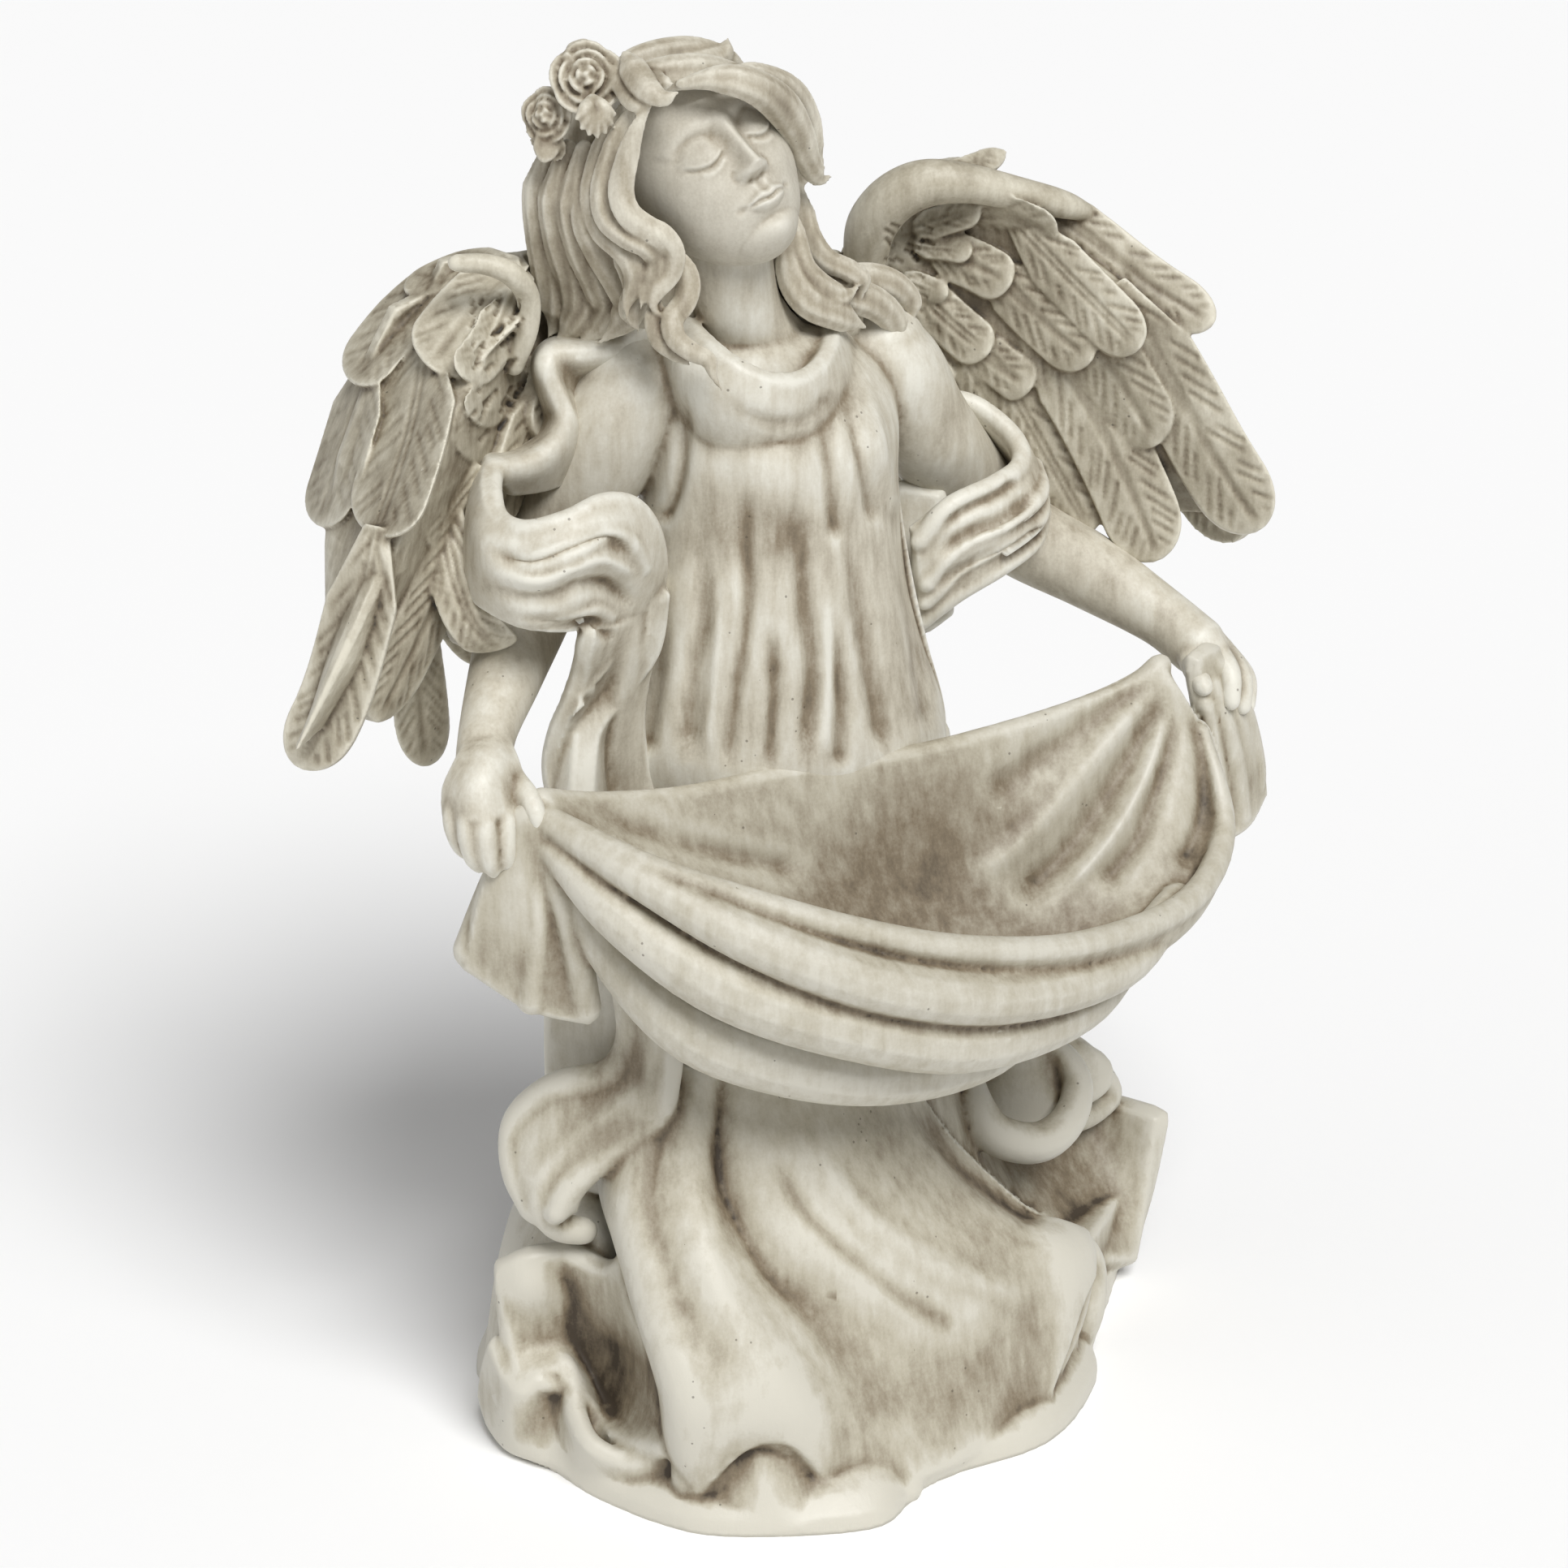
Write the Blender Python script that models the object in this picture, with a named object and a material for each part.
"""Angel garden statue: a cast figure that holds her apron out as a bowl. Metres, +Z up, facing -Y."""
import math

import bmesh
import bpy
import numpy as np

# Driving sizes, in metres.
HEIGHT = 0.500            # from the ground to the crown of the head
APRON_WALL = 0.009        # thickness of the cloth that makes the bowl
CLOTH_WALL = 0.008        # thickness of the loose cloth: shawl, sash and corners
FEATHER_THICK = 0.006     # thickness of one feather
FUSE_SIZE = 0.0015        # grain at which the forms are cast into one body
TRIANGLES = 9600          # facets of the finished solid
RESIN_COLOUR = (0.56, 0.52, 0.43, 1.0)
RESIN_ROUGHNESS = 0.5     # satin

# The figure's forms are given in parts of its height: 500 parts from the ground to the crown.
PART = HEIGHT / 500
APRON_THICK = APRON_WALL / PART
CLOTH_THICK = CLOTH_WALL / PART
FEATHER = FEATHER_THICK / PART


def unit(v):
    v = np.asarray(v, float)
    return v / max(np.linalg.norm(v), 1e-9)


def spline(points, count):
    """Rows spread along a smooth curve through the given rows; columns after x, y, z are blended too."""
    p = np.asarray(points, float)
    p = np.concatenate([[2 * p[0] - p[1]], p, [2 * p[-1] - p[-2]]])
    t = np.linspace(0, len(p) - 3, count)
    i = np.minimum(t.astype(int), len(p) - 4)
    f = (t - i).reshape((-1,) + (1,) * (p.ndim - 1))
    a, b, c, d = p[i], p[i + 1], p[i + 2], p[i + 3]
    return 0.5 * (2 * b + (c - a) * f + (2 * a - 5 * b + 4 * c - d) * f**2 + (3 * (b - c) + d - a) * f**3)


def closed_spline(points, count):
    """Points spread along a smooth closed curve through the given points."""
    p = np.asarray(points, float)
    n = len(p)
    t = np.linspace(0, n, count, endpoint=False)
    i = t.astype(int)
    f = (t - i)[:, None]
    a, b, c, d = p[(i - 1) % n], p[i % n], p[(i + 1) % n], p[(i + 2) % n]
    return 0.5 * (2 * b + (c - a) * f + (2 * a - 5 * b + 4 * c - d) * f**2 + (3 * (b - c) + d - a) * f**3)


def skin(rings):
    """A closed solid through equal rings of points, with a fan at each end."""
    rings = np.asarray(rings, float)
    n, k = rings.shape[:2]
    verts = np.vstack([rings.reshape(-1, 3), rings[0].mean(0), rings[-1].mean(0)])
    faces = []
    for i in range(n - 1):
        for j in range(k):
            m = (j + 1) % k
            faces.append((i * k + j, i * k + m, (i + 1) * k + m, (i + 1) * k + j))
    for j in range(k):
        m = (j + 1) % k
        faces.append((n * k, m, j))
        faces.append((n * k + 1, (n - 1) * k + j, (n - 1) * k + m))
    return verts, faces


def tube(rows, across=None, sides=12, steps=None):
    """A solid swept along rows of x, y, z, radius and, for a flat one, the radius square to `across`."""
    rows = np.asarray(rows, float)
    if rows.shape[1] == 4:
        rows = np.hstack([rows, rows[:, 3:4]])
    steps = steps or max(6, 5 * (len(rows) - 1) + 1)
    p = spline(rows, steps)
    p[:, 3:] = np.maximum(p[:, 3:], 0.4)
    path, ra, rb = p[:, :3], p[:, 3], p[:, 4]
    tangent = np.gradient(path, axis=0)
    side = unit(across) if across is not None else unit(np.cross(tangent[0], (0.31, 0.52, 0.79)))
    angles = np.linspace(0, 2 * math.pi, sides, endpoint=False)
    rings = []
    for i in range(steps):
        t = unit(tangent[i])
        if across is not None:
            side = unit(across)
        side = unit(side - t * (side @ t))
        up = np.cross(t, side)
        ring = path[i] + np.outer(np.cos(angles) * ra[i], side) + np.outer(np.sin(angles) * rb[i], up)
        if i in (0, steps - 1):
            sign = -1 if i == 0 else 1
            reach = min(ra[i], rb[i])
            near = path[i] + (ring - path[i]) * 0.75 + t * sign * reach * 0.6
            tip = path[i] + (ring - path[i]) * 0.25 + t * sign * reach * 0.95
            rings += [tip, near, ring] if i == 0 else [ring, near, tip]
        else:
            rings.append(ring)
    return skin(rings)


def sheet(grid, thick, steps=(22, 30)):
    """A closed slab of cloth through a grid of points, with a rounded rim."""
    surface = spline(grid, steps[0])
    surface = np.swapaxes(spline(np.swapaxes(surface, 0, 1), steps[1]), 0, 1)
    du, dv = np.gradient(surface, axis=0), np.gradient(surface, axis=1)
    normal = np.cross(du, dv)
    normal /= np.maximum(np.linalg.norm(normal, axis=2, keepdims=True), 1e-6)
    n, k = steps
    top, bottom = surface + normal * thick / 2, surface - normal * thick / 2
    verts = np.vstack([top.reshape(-1, 3), bottom.reshape(-1, 3)])
    faces = []
    for i in range(n - 1):
        for j in range(k - 1):
            a, b, c, d = i * k + j, (i + 1) * k + j, (i + 1) * k + j + 1, i * k + j + 1
            faces.append((a, b, c, d))
            faces.append(tuple(q + n * k for q in (d, c, b, a)))
    rim = [j for j in range(k)] + [i * k + k - 1 for i in range(1, n)]
    rim += [(n - 1) * k + j for j in range(k - 2, -1, -1)] + [i * k for i in range(n - 2, 0, -1)]
    edge = np.vstack([surface.reshape(-1, 3)[rim]])
    out = edge - np.array([surface.reshape(-1, 3)[inward(q, n, k)] for q in rim])
    out /= np.maximum(np.linalg.norm(out, axis=1, keepdims=True), 1e-6)
    first = len(verts)
    verts = np.vstack([verts, edge + out * thick * 0.35])
    for a in range(len(rim)):
        b = (a + 1) % len(rim)
        faces.append((rim[a], rim[b], first + b, first + a))
        faces.append((first + a, first + b, rim[b] + n * k, rim[a] + n * k))
    return verts, faces


def inward(q, n, k):
    """The grid point one step in from a rim point of an n by k grid."""
    i, j = divmod(q, k)
    return min(max(i, 1), n - 2) * k + min(max(j, 1), k - 2)


def blob(centre, radii, axes=None, sides=18, bands=12):
    """An ellipsoid; axes are its three unit directions."""
    axes = np.eye(3) if axes is None else np.asarray(axes, float)
    rings = []
    for b in np.linspace(-0.97, 0.97, bands):
        w = math.sqrt(1 - b * b)
        a = np.linspace(0, 2 * math.pi, sides, endpoint=False)
        local = np.stack([np.cos(a) * w * radii[0], np.sin(a) * w * radii[1], np.full(sides, b * radii[2])], 1)
        rings.append(np.asarray(centre, float) + local @ axes)
    return skin(rings)


def rounds(sections, sides=36, steps=30):
    """A standing solid through rows of z, centre x, centre y, half width, half depth."""
    p = spline(sections, steps)
    a = np.linspace(0, 2 * math.pi, sides, endpoint=False)
    return skin([np.stack([r[1] + r[3] * np.cos(a), r[2] + r[4] * np.sin(a), np.full(sides, r[0])], 1) for r in p])


# The ground and the skirts.

GROUND_LINE = [
    (-118, 15), (-122, -12), (-119, -40), (-112, -70), (-93, -104), (-62, -122), (-32, -130), (-3, -113),
    (48, -108), (86, -79), (99, -54), (128, -22), (148, 8), (140, 48), (95, 88), (30, 104), (-45, 98), (-98, 62),
]


GROUND_RISE = [
    # height, share of the way in to the waist at the front and at the back
    (0, 0.0, 0.0), (8, 0.01, 0.02), (16, 0.14, 0.08), (30, 0.34, 0.18), (54, 0.56, 0.34), (80, 0.76, 0.50),
    (110, 0.92, 0.66), (150, 1.0, 0.82), (190, 1.0, 0.93), (232, 1.0, 1.0),
]
WAIST = (-2, 0, 59, 45)


def hem_ring(z):
    """The outline of the dress below the waist at height z, with folds round the back."""
    line = closed_spline(GROUND_LINE, 120)
    angle = np.arctan2(line[:, 1] - WAIST[1], line[:, 0] - WAIST[0])
    waist = np.stack([WAIST[0] + WAIST[2] * np.cos(angle), WAIST[1] + WAIST[3] * np.sin(angle)], 1)
    table = np.array(GROUND_RISE)
    front, behind = (np.interp(z, table[:, 0], table[:, c]) for c in (1, 2))
    back = np.clip((line[:, 1] + 10) / 70, 0, 1)[:, None]
    share = front + (behind - front) * back
    flat = line + (waist - line) * share
    fold = 1 + back * (0.028 * np.cos(11 * angle + 0.012 * z)[:, None])
    return np.hstack([WAIST[:2] + (flat - WAIST[:2]) * fold, np.full((len(line), 1), z)])


def ground():
    """The dress from the waist down to the flat foot of the casting."""
    return [skin([hem_ring(z) for z in np.linspace(0, 232, 40)])]


SKIRT = [
    # one flow line of the cloth per row, from the waist to the hem: folds and the hollows between them
    [(-80, -22, 156), (-90, -34, 112), (-88, -52, 82), (-88, -76, 54), (-92, -88, 28), (-92, -92, 10)],
    [(-78, -44, 154), (-93, -56, 112), (-96, -74, 84), (-96, -98, 54), (-100, -108, 28), (-100, -106, 10)],
    [(-68, -46, 152), (-82, -54, 116), (-82, -72, 88), (-78, -92, 60), (-80, -106, 44), (-76, -110, 36)],
    [(-62, -50, 152), (-76, -68, 116), (-77, -90, 86), (-64, -107, 56), (-52, -114, 34), (-46, -116, 22)],
    [(-56, -46, 150), (-62, -54, 118), (-56, -72, 88), (-36, -88, 62), (-16, -102, 26), (-8, -112, 4)],
    [(-48, -52, 150), (-50, -68, 122), (-36, -86, 90), (-4, -95, 58), (22, -96, 34), (20, -104, 4)],
    [(-28, -54, 150), (-22, -70, 120), (-4, -84, 88), (22, -90, 62), (46, -88, 42), (46, -96, 6)],
    [(-6, -54, 140), (8, -62, 112), (26, -70, 88), (46, -76, 70), (66, -82, 54), (62, -88, 24)],
    [(8, -48, 134), (22, -54, 106), (38, -60, 84), (56, -66, 67), (76, -74, 57), (76, -80, 42)],
    [(19, -42, 126), (33, -48, 101), (49, -54, 81), (66, -62, 64), (82, -68, 55), (82, -72, 46)],
]


def skirt():
    forms = [rounds([
        (30, -6, -18, 84, 66), (60, -4, -12, 78, 58), (90, -2, -8, 68, 50), (120, 0, -5, 60, 44), (150, 0, -2, 58, 44),
        (180, 0, 0, 60, 46), (215, 0, 0, 62, 46), (245, -2, 0, 62, 46),
    ])]
    forms.append(sheet(SKIRT, 13, (60, 40)))
    arch = [(-100, -112, 20, 7), (-90, -116, 30, 6), (-78, -116, 38, 5), (-66, -115, 38, 5), (-56, -115, 30, 6), (-44, -115, 18, 7),
            (-26, -112, 6, 7), (2, -106, 3, 6)]
    forms.append(tube(arch, steps=40))
    forms.append(blob((-70, -96, 24), (30, 14, 22)))
    edge = [(84, -68, 56, 5), (80, -74, 44, 6), (70, -80, 28, 7), (52, -88, 14, 8), (26, -98, 5, 7)]
    forms.append(tube(edge, steps=30))
    forms.append(tube([(86, -60, 52, 6), (94, -58, 38, 7), (92, -60, 22, 8), (88, -58, 8, 8)]))
    forms.append(tube([(84, -66, 30, 4), (76, -72, 16, 5), (66, -76, 4, 6), (78, -70, 2, 6)]))
    return forms


def hem_left():
    """The hem that lies in waves to the left of the foot."""
    upper = [
        [(-84, 14, 92), (-94, -14, 90), (-94, -34, 84)],
        [(-98, 12, 72), (-105, -12, 74), (-96, -36, 66)],
        [(-108, 14, 58), (-107, -8, 58), (-98, -34, 56)],
        [(-107, 14, 46), (-106, -6, 48), (-100, -30, 46)],
    ]
    lower = [
        [(-98, 12, 46), (-104, -14, 46), (-105, -44, 39), (-98, -66, 30)],
        [(-107, 10, 26), (-111, -16, 26), (-109, -48, 22), (-101, -74, 18)],
        [(-112, 8, 8), (-114, -18, 9), (-109, -52, 8), (-98, -80, 7)],
    ]
    forms = [sheet(upper, CLOTH_THICK + 2, (20, 20)), sheet(lower, 10, (20, 30))]
    forms.append(tube([(-112, 2, 66, 3), (-110, -14, 71, 3.5), (-104, -28, 69, 4), (-97, -40, 62, 4), (-93, -52, 56, 4)], steps=24))
    ripple = [
        (-109, 0, 44, 3), (-113, -16, 36, 4), (-116, -32, 29, 4), (-115, -41, 40, 4), (-114, -48, 42, 4),
        (-114, -56, 30, 4.5), (-110, -70, 22, 4.5), (-100, -80, 22, 4.5), (-94, -90, 28, 4),
    ]
    forms.append(tube(ripple, steps=44))
    forms.append(tube([(-114, 6, 10, 5), (-116, -22, 14, 5), (-112, -52, 12, 6), (-102, -78, 12, 6), (-96, -92, 16, 6)], steps=30))
    forms.append(blob((-90, -8, 84), (12, 22, 12)))
    forms.append(blob((-84, -50, 60), (16, 30, 24)))
    return forms


def train():
    """The train that stands out behind her left side, with a rolled end on top."""
    panel = [
        [(60, 20, 92), (100, 26, 86), (136, 24, 66), (158, -6, 62)],
        [(60, -16, 62), (96, 0, 54), (130, 2, 40), (151, -8, 34)],
        [(70, -50, 36), (96, -30, 24), (122, -20, 14), (140, -12, 8)],
    ]
    forms = [sheet(panel, 12)]
    forms.append(skin([
        [(40, 0, z), (70, -44, z), (98, -46, z), (140, -8, z), (130 + lean, 40, z), (80, 70, z), (30, 60, z)]
        for z, lean in ((0, 0), (20, 6), (34, 10))
    ]))
    forms.append(tube([(92, -58, 8, 6), (96, -50, 26, 6), (88, -56, 44, 6), (80, -62, 52, 5)]))
    roll = [(66, -10, 116, 6), (62, -24, 102, 7), (67, -33, 88, 8), (84, -36, 81, 8), (99, -33, 85, 7),
            (109, -24, 94, 6), (108, -14, 103, 5), (100, -6, 106, 4)]
    forms.append(tube(roll, steps=30))
    forms.append(blob((86, -8, 92), (22, 14, 15)))
    forms.append(blob((60, -2, 104), (18, 20, 20)))
    forms.append(tube([(104, 4, 102, 6), (126, 6, 92, 6), (143, 5, 72, 4), (132, 2, 66, 5), (110, -8, 72, 7)]))
    return forms


# The apron, held out as a bowl.

APRON = [
    # ribs of the bowl from her right hand to her left: back rim, inside, front rim
    [(-123, -52, 264), (-123, -56, 261), (-123, -59, 258), (-123, -60, 256), (-123, -57, 259)],
    [(-100, -49, 257), (-98, -62, 244), (-97, -76, 236), (-99, -90, 240), (-104, -91, 251)],
    [(-65, -47, 252), (-62, -62, 228), (-62, -84, 206), (-70, -104, 212), (-77, -107, 240)],
    [(-22, -46, 252), (-20, -62, 214), (-20, -88, 186), (-28, -113, 194), (-40, -121, 226)],
    [(22, -46, 250), (22, -62, 206), (24, -90, 174), (20, -115, 180), (0, -126, 213)],
    [(62, -46, 252), (64, -62, 211), (66, -86, 180), (64, -110, 184), (48, -122, 203)],
    [(96, -46, 256), (99, -60, 230), (104, -78, 204), (108, -95, 193), (101, -105, 201)],
    [(116, -46, 261), (121, -54, 248), (128, -63, 231), (133, -73, 216), (132, -80, 213)],
    [(126, -45, 266), (128, -49, 260), (131, -52, 253), (134, -55, 246), (135, -57, 243)],
]

BOWL_FOLDS = [
    # soft folds of the cloth inside the bowl, running from her left hand
    [(124, -52, 262, 2), (100, -54, 248, 3), (62, -58, 234, 3), (20, -56, 232, 3), (-24, -54, 240, 2)],
    [(126, -54, 258, 2), (108, -62, 232, 3), (78, -74, 206, 4), (40, -82, 192, 4), (4, -86, 190, 3)],
    [(130, -56, 254, 2), (122, -68, 226, 3), (104, -84, 200, 4), (80, -98, 184, 4), (50, -104, 180, 3)],
]


def apron():
    forms = [sheet(APRON, APRON_THICK, (50, 30))]
    swags = [
        [(-122, -60, 258, 5), (-104, -94, 246, 7), (-74, -116, 227, 9), (-32, -128, 207, 10),
         (17, -126, 192, 10), (70, -112, 187, 9), (106, -92, 197, 6)],
        [(-122, -60, 250, 6), (-110, -86, 232, 9), (-82, -106, 210, 12), (-42, -118, 192, 13),
         (6, -118, 176, 13), (58, -104, 172, 11), (94, -86, 182, 7)],
        [(-118, -60, 240, 6), (-106, -74, 212, 9), (-86, -90, 188, 12), (-54, -98, 172, 13),
         (-16, -98, 160, 13), (26, -90, 155, 12), (60, -78, 158, 8)],
    ]
    forms += [tube(s, steps=36) for s in swags]
    rim = [APRON[i][4] + (5.0,) for i in range(len(APRON))]
    forms.append(tube(rim, steps=50))
    back_rim = [APRON[i][0] + (4.6,) for i in range(len(APRON))]
    forms.append(tube(back_rim, steps=50))
    forms.append(blob((-8, -62, 170), (66, 34, 20)))
    for fold in BOWL_FOLDS:
        forms.append(tube(fold, steps=24))
    corner_right = [
        [(-128, -48, 266), (-130, -52, 262), (-124, -58, 258)],
        [(-141, -45, 232), (-130, -56, 228), (-118, -58, 226)],
        [(-146, -40, 204), (-128, -52, 190), (-110, -60, 184)],
    ]
    forms.append(sheet(corner_right, CLOTH_THICK))
    for x, y, z in ((-145, -40, 208), (-128, -54, 192), (-111, -61, 188)):
        forms.append(tube([(-128, -54, 262, 4), ((x - 126) / 2, y - 6, (z + 262) / 2, 5), (x, y, z, 6)]))
    corner_left = [
        [(138, -46, 266), (148, -42, 268), (155, -36, 262)],
        [(142, -50, 236), (156, -48, 238), (166, -42, 238)],
        [(148, -50, 196), (160, -50, 199), (173, -42, 207)],
    ]
    forms.append(sheet(corner_left, CLOTH_THICK))
    forms.append(tube([(150, -44, 262, 5), (161, -43, 244, 5.5), (168, -43, 218, 6), (166, -44, 206, 5.5)]))
    forms.append(tube([(142, -50, 250, 4), (146, -52, 222, 5), (151, -50, 199, 5)]))
    forms.append(tube([(146, -48, 256, 4), (153, -50, 232, 5), (159, -50, 203, 5)]))
    return forms


# The body and the arms.


BODY = [
    # height, centre, half width, half depth
    (235, -4, -1, 62, 48), (255, -8, -2, 63, 48), (280, -10, -2, 58, 45), (310, -11, -2, 52, 42),
    (340, -10, -2, 47, 39), (365, -10, 0, 48, 38), (382, -12, 3, 46, 33), (396, -15, 4, 34, 24),
]


def on_body(angle, z, out=0.0):
    """A point of the body's surface; the angle is in degrees from the front towards her left."""
    table = np.array(BODY, float)
    cx, cy, a, b = [np.interp(z, table[:, 0], table[:, c]) for c in range(1, 5)]
    t = math.radians(angle)
    return cx + (a + out) * math.sin(t), cy - (b + out) * math.cos(t), z


PLEATS = [
    # angle and height at the gathers, angle at the apron, fullness
    (-96, 346, -92, 6), (-64, 362, -72, 7), (-44, 364, -55, 7), (-31, 358, -40, 6), (-20, 352, -26, 7),
    (-7, 350, -10, 6.5), (6, 350, 6, 7), (20, 354, 22, 7), (38, 358, 42, 7), (66, 352, 68, 6), (88, 340, 86, 6),
]


def torso():
    forms = [rounds(BODY)]
    forms.append(blob((-58, 6, 382), (20, 18, 20)))
    forms.append(blob((36, 6, 381), (20, 18, 20)))
    forms.append(blob((-28, -20, 364), (17, 19, 20)))
    forms.append(blob((6, -20, 363), (17, 19, 20)))
    for angle in (132, 150, 168, 186, 204, 222):
        rows = [[*on_body(angle + 4 * math.sin(z / 30), z, -3.5), 6] for z in (372, 340, 310, 280, 250, 232)]
        forms.append(tube(rows))
    for top, z, foot, full in PLEATS:
        rows = []
        for t in np.linspace(0, 1, 6):
            angle, height = top + (foot - top) * t, z + (250 - z) * t
            radius = 3.0 + (full - 3.0) * t
            rows.append([*on_body(angle, height, 0.8 - radius * 0.62), radius])
        forms.append(tube(rows))
    collar = [(-46, 0, 408, 4), (-43, -14, 407, 4), (-37, -28, 397, 4), (-29, -36, 388, 4.5), (-14, -38, 385, 4.5),
              (-7, -32, 392, 4), (-4, -20, 400, 4), (-8, -4, 408, 4)]
    forms.append(tube(collar, steps=30))
    forms.append(blob((-20, -14, 386), (28, 25, 14)))
    forms.append(tube([(-56, -6, 400, 6), (-56, -18, 391, 6), (-55, -27, 376, 5), (-58, -28, 360, 5), (-62, -25, 342, 5)]))
    forms.append(tube([(24, 0, 398, 8), (30, -12, 388, 8), (33, -18, 368, 7), (34, -18, 344, 6), (38, -16, 312, 5), (47, -12, 262, 5)]))
    forms.append(tube([(-15, 0, 380, 18), (-18, -4, 398, 15), (-24, -8, 418, 14), (-31, -6, 440, 16)]))
    return forms


def arms():
    forms = [
        tube([(-60, 4, 386, 19), (-71, 8, 360, 19), (-85, 14, 331, 17), (-96, 10, 309, 17),
              (-115, -10, 292, 14.5), (-131, -28, 280, 10.5), (-138, -40, 268, 11)]),
        tube([(38, 5, 382, 19), (56, 10, 353, 18), (81, 16, 324, 16), (99, 13, 304, 15.5),
              (123, 0, 288.5, 14), (142, -20, 274, 11), (150, -34, 265, 11)]),
        blob((-139, -42, 264), (9, 10, 13)),
        blob((152, -34, 263), (11, 9, 9)),
    ]
    fingers = [
        ((-147, -42, 264), (-150, -47, 250)), ((-143, -46, 264), (-147, -51, 245)),
        ((-139, -49, 264), (-144, -54, 242)), ((-134, -50, 265), (-140, -56, 244)), ((-128, -44, 270), (-126, -57, 257)),
    ]
    for root, tip in fingers:
        mid = [(a + b) / 2 for a, b in zip(root, tip)]
        forms.append(tube([root + (4.6,), (mid[0] - 1, mid[1] - 2, mid[2], 4.3), tip + (3.4,)]))
    forms.append(tube([(146, -30, 268, 5), (142, -42, 262, 4.5), (141, -51, 257, 3.8)]))
    forms.append(tube([(158, -34, 262, 6), (163, -41, 252, 5), (160, -46, 244, 4)]))
    return forms


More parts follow.
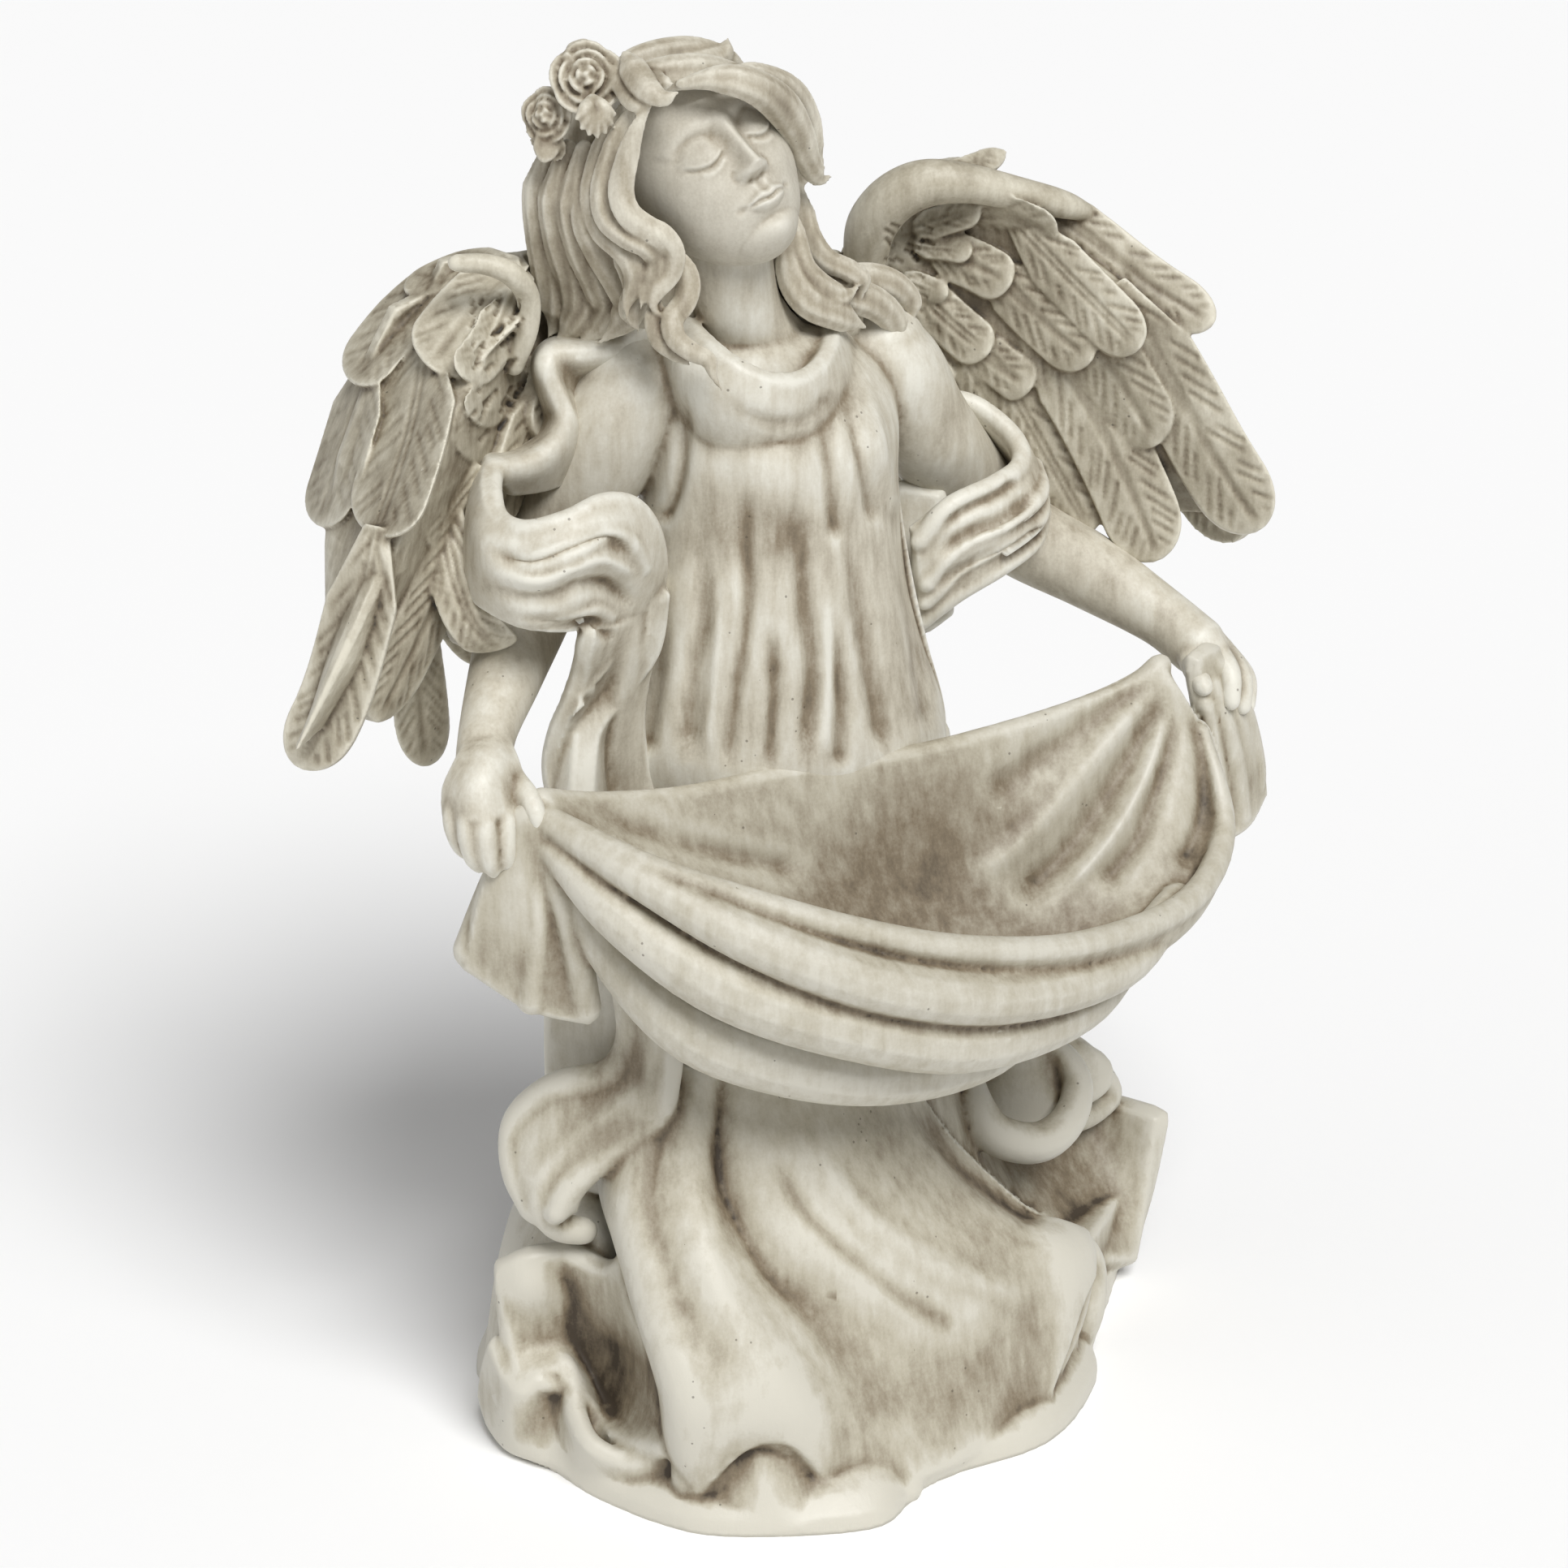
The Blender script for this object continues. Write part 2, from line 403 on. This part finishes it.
def shawl():
    """The loose shawl: round both arms above the elbow, and behind the back."""
    right = [
        [(-96, 22, 360), (-112, 8, 358), (-119, -8, 352), (-117, -22, 347), (-104, -32, 347), (-90, -37, 355), (-76, -38, 352), (-68, -32, 338)],
        [(-98, 28, 342), (-116, 8, 342), (-122, -12, 338), (-116, -26, 336), (-104, -34, 336), (-88, -39, 342), (-74, -39, 340), (-64, -28, 326)],
        [(-94, 24, 322), (-108, 8, 322), (-114, -8, 322), (-110, -24, 322), (-100, -33, 324), (-86, -39, 328), (-73, -38, 326), (-63, -24, 312)],
        [(-88, 20, 306), (-98, 8, 308), (-104, -6, 312), (-103, -20, 315), (-96, -31, 316), (-84, -37, 317), (-73, -35, 312), (-66, -18, 300)],
    ]
    forms = [sheet(right, CLOTH_THICK + 1, (24, 50))]
    folds_right = [
        [(-106, 10, 362, 4), (-117, -4, 357, 4.5), (-119, -18, 350, 4.5), (-108, -32, 347, 4.5), (-92, -38, 354, 5),
         (-77, -40, 353, 5), (-68, -34, 340, 5), (-66, -28, 324, 5), (-72, -24, 306, 6), (-80, -20, 290, 7)],
        [(-116, -8, 338, 4), (-108, -32, 334, 5), (-92, -40, 340, 5), (-76, -41, 338, 5), (-68, -34, 324, 5), (-74, -27, 304, 5)],
        [(-112, -16, 326, 4), (-100, -35, 325, 5), (-86, -41, 329, 5), (-75, -40, 325, 5), (-69, -30, 310, 5)],
        [(-108, -12, 316, 5), (-98, -32, 315, 5.5), (-84, -38, 317, 6), (-74, -35, 309, 6), (-72, -25, 294, 7)],
    ]
    forms += [tube(f, steps=36) for f in folds_right]
    trail = [
        [(-70, -30, 322), (-62, -10, 318), (-60, 10, 312)],
        [(-72, -27, 302), (-66, -8, 296), (-60, 10, 290)],
        [(-82, -22, 287), (-72, -6, 278), (-62, 10, 268)],
        [(-94, -24, 274), (-80, -8, 258), (-64, 8, 246)],
        [(-100, -30, 256), (-84, -14, 238), (-66, 4, 226)],
    ]
    forms.append(sheet(trail, 14))
    forms.append(tube([(-74, -26, 300, 6), (-82, -24, 288, 7), (-94, -26, 275, 7), (-104, -32, 264, 6), (-108, -38, 256, 5)], steps=24))
    forms.append(tube([(-66, -26, 300, 6), (-72, -28, 282, 6), (-78, -32, 268, 6), (-80, -36, 256, 6)], steps=24))
    upper = [
        [(-54, 16, 402), (-66, 8, 399), (-80, 8, 400), (-88, 10, 391), (-86, 8, 378), (-84, 4, 366), (-94, 0, 357), (-108, -4, 352)],
        [(-50, 34, 398), (-64, 30, 392), (-78, 30, 390), (-84, 32, 380), (-88, 30, 368), (-90, 26, 358), (-100, 22, 350), (-110, 14, 344)],
    ]
    forms.append(sheet(upper, CLOTH_THICK, (8, 44)))
    edge = [(-58, -2, 404, 4), (-70, -2, 397, 5), (-80, 0, 399, 5), (-88, 2, 396, 5), (-86, -2, 385, 5),
            (-88, -6, 374, 5), (-96, -8, 364, 5), (-108, -8, 357, 5), (-118, -8, 352, 5)]
    forms.append(tube(edge, steps=44))
    left = [
        [(48, 34, 350), (64, 22, 358), (80, 14, 354), (90, 2, 344), (88, -8, 338), (72, -16, 335), (54, -18, 331), (42, -14, 322)],
        [(58, 36, 332), (74, 30, 338), (92, 18, 336), (99, 4, 328), (93, -10, 324), (74, -20, 320), (56, -20, 314), (43, -14, 306)],
        [(62, 34, 318), (80, 28, 322), (97, 16, 322), (101, 2, 317), (93, -10, 311), (75, -17, 305), (57, -15, 298), (46, -8, 290)],
    ]
    forms.append(sheet(left, CLOTH_THICK, (14, 44)))
    folds_left = [
        [(64, 20, 358, 4), (80, 13, 355, 4.5), (90, 1, 345, 4.5), (87, -10, 338, 4.5), (72, -17, 335, 4.5), (52, -19, 330, 5), (42, -16, 318, 5)],
        [(99, 0, 331, 4), (93, -12, 323, 4.5), (75, -21, 319, 5), (56, -21, 312, 5), (45, -16, 298, 5)],
        [(101, -3, 320, 4.5), (92, -13, 313, 4.5), (75, -19, 307, 5), (57, -17, 298, 5), (47, -10, 286, 5)],
    ]
    forms += [tube(f, steps=30) for f in folds_left]
    return forms


SASH = [
    # the three rolled folds of the sash, from under the apron to the turned end
    [(-90, -48, 192), (-87, -46, 166), (-94, -42, 152), (-110, -32, 146), (-121, -24, 132), (-123, -26, 115), (-119, -32, 101)],
    [(-82, -56, 190), (-82, -54, 158), (-92, -48, 143), (-105, -41, 131), (-116, -37, 118), (-118, -36, 104), (-112, -36, 94), (-102, -36, 90)],
    [(-76, -58, 186), (-79, -58, 156), (-83, -55, 138), (-98, -49, 125), (-111, -45, 114), (-116, -43, 104)],
]


def sash():
    """The end of the sash that hangs and turns under on her right."""
    forms = []
    for line, size in zip(SASH, (6.5, 6.5, 6)):
        forms.append(tube([(*p, size) for p in line], steps=40))
    rows = [spline(line, 9) for line in SASH]
    forms.append(sheet([r[:8] + np.array([3.0, 4.0, 0.0]) for r in rows], 12, (16, 40)))
    back = [
        [(-96, -8, 200), (-80, -30, 200), (-70, -40, 190)],
        [(-99, -6, 160), (-84, -28, 156), (-70, -38, 150)],
        [(-96, 0, 100), (-86, -20, 96), (-70, -40, 100)],
    ]
    forms.append(sheet(back, 10))
    return forms


# The wings.

WING_X = {1: -7, -1: -9}
WING_TILT = 0.061
WING_LEVELS = [
    # z, then x and y of the leading ridge, the back edge and the root
    (433, (80, 18), (86, 42), (74, 34)),
    (425, (94, 10), (102, 48), (66, 38)),
    (412, (108, -2), (115, 48), (58, 42)),
    (395, (126, -15), (130, 46), (44, 46)),
    (372, (144, -24), (141, 44), (38, 48)),
    (348, (158, -26), (148, 39), (42, 48)),
    (322, (173, -25), (152, 28), (64, 40)),
    (304, (183, -22), (160, 12), (118, 20)),
    (293, (189, -20), (174, -4), (160, -4)),
]


def wing_section(z):
    """Ridge, back edge and root of the wing at height z."""
    table = np.array([[r[0], *r[1], *r[2], *r[3]] for r in WING_LEVELS][::-1], float)
    row = [np.interp(z, table[:, 0], table[:, c]) for c in range(1, 7)]
    return np.array(row[0:2]), np.array(row[2:4]), np.array(row[4:6])


def place_wing(points, side):
    """Wing points, given for her left, put on the back on either side."""
    p = np.array(points, float)
    p[..., 0] *= side
    p[..., 2] += p[..., 0] * WING_TILT
    p[..., 0] += WING_X[side]
    return p


def wing_point(face, share, z):
    """A point on the inner, outer or back face of the wing, and the face's outward direction."""
    ridge, back, root = wing_section(z)
    root_far = np.array([40.0, 47.0])
    a, b = {"inner": (root_far, ridge), "outer": (ridge, back), "back": (back, root)}[face]
    flat = a + (b - a) * share
    along = unit(b - a)
    return np.array([flat[0], flat[1], z]), np.array([along[1], -along[0], 0.0])


def wing_core(side):
    rings = []
    for z in np.linspace(432, 296, 26):
        ridge, back, root = wing_section(z)
        front_mid = (ridge + root) / 2 + np.array([0.0, 5.0])
        back_mid = (back + root) / 2 - np.array([0.0, 2.0])
        outer_mid = (ridge + back) / 2 + np.array([3.0, 0.0])
        ring = closed_spline([ridge, outer_mid, back, back_mid, root, front_mid], 36)
        rings.append(np.hstack([ring, np.full((36, 1), z)]))
    verts, faces = skin(place_wing(rings, side))
    return verts, faces


def plume(path, across, width, thick=FEATHER, sides=16):
    """A flat feather along a path: blunt sides, a rounded tip and a shallow keel along the middle."""
    steps = 18
    spine = spline(path, steps)
    angles = np.linspace(0, 2 * math.pi, sides, endpoint=False)
    rings = []
    for i, s in enumerate(np.linspace(0, 1, steps)):
        tangent = unit(spine[min(i + 1, steps - 1)] - spine[max(i - 1, 0)])
        side = unit(across - tangent * (np.asarray(across) @ tangent))
        out = np.cross(tangent, side)
        half = width / 2 * min(1.0, 0.55 + 1.2 * s) * math.sqrt(max(0.02, 1 - max(0.0, (s - 0.74) / 0.26) ** 2.2))
        ca, sa = np.cos(angles), np.sin(angles)
        wide = np.sign(ca) * np.abs(ca) ** 0.6 * half
        tall = np.sign(sa) * np.abs(sa) ** 0.6 * thick / 2
        rings.append(spine[i] + np.outer(wide, side) + np.outer(tall, out))
    return skin(rings)


def feather(face, start, end, width, side, lift=3.0):
    """A long rounded feather laid on a wing face from one (share, z) to another."""
    path, normals = [], []
    for s in np.linspace(0, 1, 6):
        point, out = wing_point(face, start[0] + (end[0] - start[0]) * s, start[1] + (end[1] - start[1]) * s)
        path.append(point + out * (lift * (0.1 + 0.9 * s)))
        normals.append(out)
    placed = place_wing(path, side)
    out = unit(np.mean(normals, 0) * (side, 1, 1))
    across = np.cross(unit(placed[-1] - placed[0]), out)
    return plume(placed, across, width)


FEATHERS = {
    # face: (share, z) at the root, (share, z) at the tip, width, stand from the core
    "inner": [
        ((0.22, 352), (0.36, 314), 26, -1), ((0.36, 352), (0.50, 304), 27, 0), ((0.52, 354), (0.64, 303), 28, 1),
        ((0.66, 372), (0.78, 294), 30, 2), ((0.86, 380), (1.00, 285), 29, 3), ((0.30, 388), (0.38, 350), 24, 2),
        ((0.42, 386), (0.56, 350), 24, 3), ((0.52, 402), (0.74, 366), 28, 4), ((0.68, 412), (0.86, 376), 30, 5),
        ((0.37, 384), (0.52, 362), 22, 6), ((0.30, 396), (0.44, 372), 22, 5), ((0.46, 408), (0.64, 388), 24, 7),
        ((0.60, 420), (0.84, 408), 24, 8), ((0.34, 408), (0.50, 394), 20, 8), ((0.30, 402), (0.42, 386), 17, 8),
        ((0.44, 416), (0.62, 413), 16, 9),
    ],
    "outer": [
        ((0.84, 372), (0.74, 314), 30, 0), ((0.30, 374), (0.36, 284), 34, 1), ((0.88, 398), (0.90, 344), 30, 3),
        ((0.34, 408), (0.38, 350), 34, 4), ((0.86, 424), (0.88, 382), 30, 5), ((0.38, 428), (0.38, 394), 32, 6),
        ((0.84, 432), (0.86, 410), 24, 7),
    ],
    "back": [
        ((0.30, 354), (0.24, 304), 31, 0), ((0.60, 356), (0.56, 320), 31, 0), ((0.20, 390), (0.18, 344), 33, 1),
        ((0.50, 392), (0.46, 348), 33, 1), ((0.80, 390), (0.76, 348), 31, 1), ((0.20, 420), (0.18, 380), 33, 2),
        ((0.50, 422), (0.46, 382), 33, 2), ((0.80, 418), (0.76, 380), 29, 2), ((0.40, 430), (0.36, 404), 30, 3),
    ],
}

# Feathers placed one by one: points from root to tip in the wing's own frame, then which wing, width and facing.
PLACED_FEATHERS = [
    ([(138, 15, 318), (136, 12, 296), (132, 8, 270)], -1, 24, (0.5, -0.7, 0.0)),
    ([(122, 20, 330), (122, 16, 306), (122, 12, 278)], -1, 24, (0.45, -0.8, 0.0)),
    ([(148, 14, 338), (150, 8, 310), (149, 0, 281)], 1, 28, (-0.5, -0.8, 0.0)),
    ([(78, 22, 427), (108, 16, 422), (138, 16, 411)], 1, 22, (0.35, -0.3, 0.9)),
    ([(112, 2, 408), (146, 6, 389), (179, 6, 357)], 1, 25, (0.6, -0.5, 0.5)),
    ([(120, 6, 420), (140, 10, 404), (152, 12, 384)], -1, 26, (0.8, -0.2, 0.5)),
    ([(84, 20, 434), (108, 24, 430), (126, 26, 418)], -1, 24, (0.6, 0.0, 0.8)),
]


def wing(side):
    forms = [wing_core(side), blob((side * 34, 38, 376), (20, 13, 36))]
    for face, rows in FEATHERS.items():
        for start, end, width, stand in rows:
            forms.append(feather(face, start, end, width, side, 1.5 + 0.95 * stand))
    for path, which, width, facing in PLACED_FEATHERS:
        if which == side:
            placed = place_wing(path, side)
            across = np.cross(placed[-1] - placed[0], unit(np.array(facing) * (side, 1, 1)))
            forms.append(plume(placed, unit(across), width))
    arch = [(64, 46, 384, 7), (62, 42, 402, 8), (65, 34, 419, 8), (75, 24, 430, 8), (89, 13, 429, 8),
            (101, 4, 418, 7), (116, -7, 401, 6), (129, -15, 384, 5), (144, -21, 361, 4), (160, -22, 334, 3)]
    path = place_wing([a[:3] for a in arch], side)
    forms.append(tube([(*p, a[3]) for p, a in zip(path, arch)], steps=50))
    return forms


# The head.

HEAD = np.array([-36.5, -3.0, 461.0])
HEAD_SIZE = 1.11
FORWARD = unit((0.092, -0.848, 0.522))
UPWARD = unit((-0.354, 0.461, 0.814))
LEFTWARD = unit(np.cross(UPWARD, FORWARD))
AXES = np.array([LEFTWARD, FORWARD, UPWARD])


def on_head(point):
    """A point given as left, forward, up from the middle of the head."""
    return HEAD + HEAD_SIZE * np.asarray(point[:3], float) @ AXES


def head_tube(rows, **more):
    return tube([[*on_head(r), *r[3:]] for r in rows], **more)


def head():
    forms = [
        blob(on_head((0, -3, 4)), (27, 30, 31), AXES),
        blob(on_head((0, 6, -10)), (22.5, 21, 24), AXES),
        blob(on_head((0, 17, -27)), (9, 8.5, 8), AXES),
    ]
    for s in (-1, 1):
        forms.append(blob(on_head((12 * s, 14, -11)), (10, 10, 11), AXES))
        forms.append(blob(on_head((11.0 * s, 20.5, 2)), (7.5, 5.5, 5.0), AXES))
        forms.append(head_tube([(4 * s, 26, 8, 2.5), (11 * s, 25, 11, 2.6), (19 * s, 18, 8, 2.2)]))
        forms.append(blob(on_head((3.6 * s, 27.5, -8.5)), (2.8, 3.2, 2.6), AXES))
    forms.append(head_tube([(0, 25, 6, 2.6), (0, 28, -1, 3.0), (0, 31, -7, 3.6)]))
    forms.append(head_tube([(-7, 23, -16.5, 1.2), (-3, 26.5, -15.2, 2), (0, 27, -15.8, 2), (3, 26.5, -15.2, 2), (7, 23, -16.5, 1.2)]))
    forms.append(head_tube([(-6, 23, -18.6, 1.2), (0, 26, -19.6, 2.8), (6, 23, -18.6, 1.2)]))
    return forms


def hair():
    forms = [
        blob(on_head((0, -10, 5)), (31, 29, 30), AXES),
        blob(on_head((0, -18, -14)), (28, 22, 34), AXES),
    ]
    forms.append(blob((-34, 18, 430), (34, 26, 50)))
    for lock in range(8):
        across = (lock - 3.5) / 3.5
        bend = 3 * math.sin(2.1 * lock)
        rows = [
            (-40 + 16 * across, 12, 487, 9), (-36 + 31 * across, 30 - 8 * across**2, 470, 10),
            (-34 + 36 * across + bend, 40 - 10 * across**2, 446, 10), (-33 + 38 * across - bend, 46 - 10 * across**2, 420, 10),
            (-32 + 40 * across + bend, 48 - 9 * across**2, 394, 9), (-31 + 40 * across - bend, 47 - 8 * across**2, 372, 5),
        ]
        forms.append(tube(rows))
    locks = [
        # her right side: the back locks, then the curls that frame the face
        [(-68, 2, 484, 9), (-76, 4, 462, 9), (-76, 6, 436, 9), (-74, 8, 410, 8), (-80, 8, 398, 5)],
        [(-68, -6, 480, 9), (-75, -6, 456, 9), (-72, -4, 430, 9), (-68, -2, 408, 8), (-64, -6, 398, 5)],
        [(-66, -14, 486, 8), (-76, -17, 468, 8), (-78, -19, 455, 8), (-70, -24, 447, 7.5), (-61, -28, 442, 7), (-58, -30, 434, 6.5),
         (-63, -28, 424, 6), (-61, -28, 412, 5)],
        [(-64, -8, 448, 8), (-60, -16, 436, 8), (-57, -22, 424, 8), (-58, -22, 408, 7)],
        [(-56, -26, 430, 5), (-53, -32, 420, 6), (-56, -34, 409, 5.5), (-53, -37, 400, 4.5), (-49, -41, 391, 3), (-47, -42, 387, 2)],
        [(-70, -14, 426, 7), (-66, -20, 416, 7), (-68, -18, 406, 6), (-74, -10, 400, 5)],
        # over the brow
        [(-52, 0, 493, 9), (-64, -10, 489, 8), (-69, -18, 478, 7), (-72, -21, 466, 6)],
        [(-56, -12, 492, 6), (-63, -20, 491, 5.5), (-66, -28, 488, 4.5), (-62, -35, 488, 3.5), (-57, -37, 491, 2.5)],
        [(-50, -10, 493, 7), (-48, -22, 493, 6), (-38, -29, 491, 5.5), (-25, -30, 486, 6), (-13, -26, 476, 6.5), (-7, -20, 465, 6),
         (-1, -17, 457, 4.5), (5, -17, 453, 3.5)],
        [(-44, 0, 494, 8), (-31, -10, 490, 8), (-17, -14, 482, 8), (-11, -12, 468, 8), (-6, -8, 456, 7)],
        [(-58, -2, 492, 8), (-46, -8, 493, 7), (-36, -9, 493, 6), (-29, -7, 497, 3.5), (-26, -7, 501, 2)],
        [(-62, 8, 489, 9), (-50, 6, 492, 9), (-38, 4, 491, 8), (-24, 4, 482, 9), (-13, 6, 466, 9)],
        # her left side
        [(-6, 0, 436, 10), (-1, -3, 422, 12), (9, -3, 408, 13.5), (15, 0, 398, 13)],
        [(-2, -6, 424, 8), (4, -10, 412, 9), (8, -12, 400, 9)],
        [(-8, 4, 452, 11), (-4, 10, 430, 11), (2, 12, 412, 10), (8, 10, 398, 8)],
        [(-8, -8, 448, 6), (-3, -14, 436, 6), (2, -18, 426, 6), (10, -17, 418, 5.5), (20, -15, 415, 5.5), (24, -14, 406, 5), (20, -16, 398, 3)],
        [(-10, -8, 436, 6), (-6, -15, 424, 6), (-2, -20, 414, 6), (6, -20, 405, 5), (14, -16, 400, 4)],
        [(8, 0, 428, 8), (16, -4, 416, 7), (26, -6, 410, 6), (32, -8, 400, 4.5)],
    ]
    forms += [tube(lock) for lock in locks]
    return forms


def rose(centre, facing, size):
    """A rose: a bud with three rounds of petals that lean outward."""
    facing = unit(facing)
    side = unit(np.cross(facing, (0.2, 0.1, 1)))
    up = np.cross(facing, side)
    centre = np.asarray(centre, float)
    forms = [blob(centre, (size * 0.75, size * 0.75, size * 0.62), np.array([side, up, facing]))]
    for ring, (count, reach, rise, thick) in enumerate(((3, 0.28, 0.72, 0.16), (4, 0.52, 0.55, 0.17), (5, 0.8, 0.2, 0.2))):
        for k in range(count):
            middle = 2 * math.pi * (k / count) + ring * 0.7
            arc = [middle + d for d in (-0.8, -0.4, 0.0, 0.4, 0.8)]
            rows = []
            for a, bow in zip(arc, (-0.12, 0.0, 0.06, 0.0, -0.12)):
                out = side * math.cos(a) + up * math.sin(a)
                rows.append([*(centre + out * size * (reach + bow) + facing * size * rise), size * thick])
            forms.append(tube(rows, sides=8))
    return forms


def flowers():
    forms = rose((-72, -4, 488), (-0.45, -0.75, 0.45), 12.5)
    forms += rose((-81, 8, 473), (-0.72, -0.6, 0.3), 10)
    forms.append(tube([(-74, -8, 482, 5, 2.5), (-73, -14, 474, 8, 3), (-73, -16, 467, 4, 2)], across=(0.9, 0.4, 0)))
    return forms


def all_forms():
    forms = ground() + skirt() + hem_left() + train() + apron() + torso() + arms() + shawl() + sash()
    forms += wing(1) + wing(-1) + head() + hair() + flowers()
    return forms


def keep_largest(mesh):
    """Drops every loose shell but the largest, and turns all faces outward."""
    bm = bmesh.new()
    bm.from_mesh(mesh)
    bm.verts.ensure_lookup_table()
    label = [-1] * len(bm.verts)
    sizes = []
    for start in bm.verts:
        if label[start.index] >= 0:
            continue
        mark = len(sizes)
        label[start.index] = mark
        queue = [start]
        count = 0
        while queue:
            vert = queue.pop()
            count += 1
            for edge in vert.link_edges:
                other = edge.other_vert(vert)
                if label[other.index] < 0:
                    label[other.index] = mark
                    queue.append(other)
        sizes.append(count)
    best = sizes.index(max(sizes))
    bmesh.ops.delete(bm, geom=[v for v in bm.verts if label[v.index] != best], context="VERTS")
    bmesh.ops.recalc_face_normals(bm, faces=bm.faces)
    bm.to_mesh(mesh)
    bm.free()


def apply_modifier(body, kind, **values):
    """Adds one modifier, bakes it into the mesh and takes it off again."""
    modifier = body.modifiers.new(kind.lower(), kind)
    for key, value in values.items():
        setattr(modifier, key, value)
    bpy.context.view_layer.update()
    graph = bpy.context.evaluated_depsgraph_get()
    baked = bpy.data.meshes.new_from_object(body.evaluated_get(graph), depsgraph=graph)
    body.modifiers.clear()
    old = body.data
    body.data = baked
    bpy.data.meshes.remove(old)
    baked.name = body.name


def cast(forms, name, grain, smoothing, triangles):
    """All the forms fused into one closed body with soft joints, on a flat foot."""
    verts, faces = [], []
    first = 0
    for points, polygons in forms:
        verts.append(np.asarray(points) * PART)
        faces += [tuple(i + first for i in face) for face in polygons]
        first += len(points)
    mesh = bpy.data.meshes.new(name)
    mesh.from_pydata(np.vstack(verts).tolist(), [], faces)
    body = bpy.data.objects.new(name, mesh)
    bpy.context.scene.collection.objects.link(body)
    apply_modifier(body, "REMESH", mode="VOXEL", voxel_size=grain)
    keep_largest(body.data)
    apply_modifier(body, "SMOOTH", factor=0.5, iterations=smoothing)
    for vert in body.data.vertices:
        if vert.co.z < grain * 0.75:
            vert.co.z = 0.0
    count = sum(len(p.vertices) - 2 for p in body.data.polygons)
    if count > triangles:
        apply_modifier(body, "DECIMATE", ratio=triangles / count)
        keep_largest(body.data)
    return body


def cast_resin():
    """Ivory cast resin with a brown wash, satin and without metal."""
    material = bpy.data.materials.new("cast_resin")
    material.use_nodes = True
    shader = material.node_tree.nodes["Principled BSDF"]
    shader.inputs["Base Color"].default_value = RESIN_COLOUR
    shader.inputs["Roughness"].default_value = RESIN_ROUGHNESS
    shader.inputs["Metallic"].default_value = 0.0
    return material


for old in list(bpy.data.objects):
    bpy.data.objects.remove(old)

statue = cast(all_forms(), "angel_statue", FUSE_SIZE, 3, TRIANGLES)
statue.data.materials.append(cast_resin())
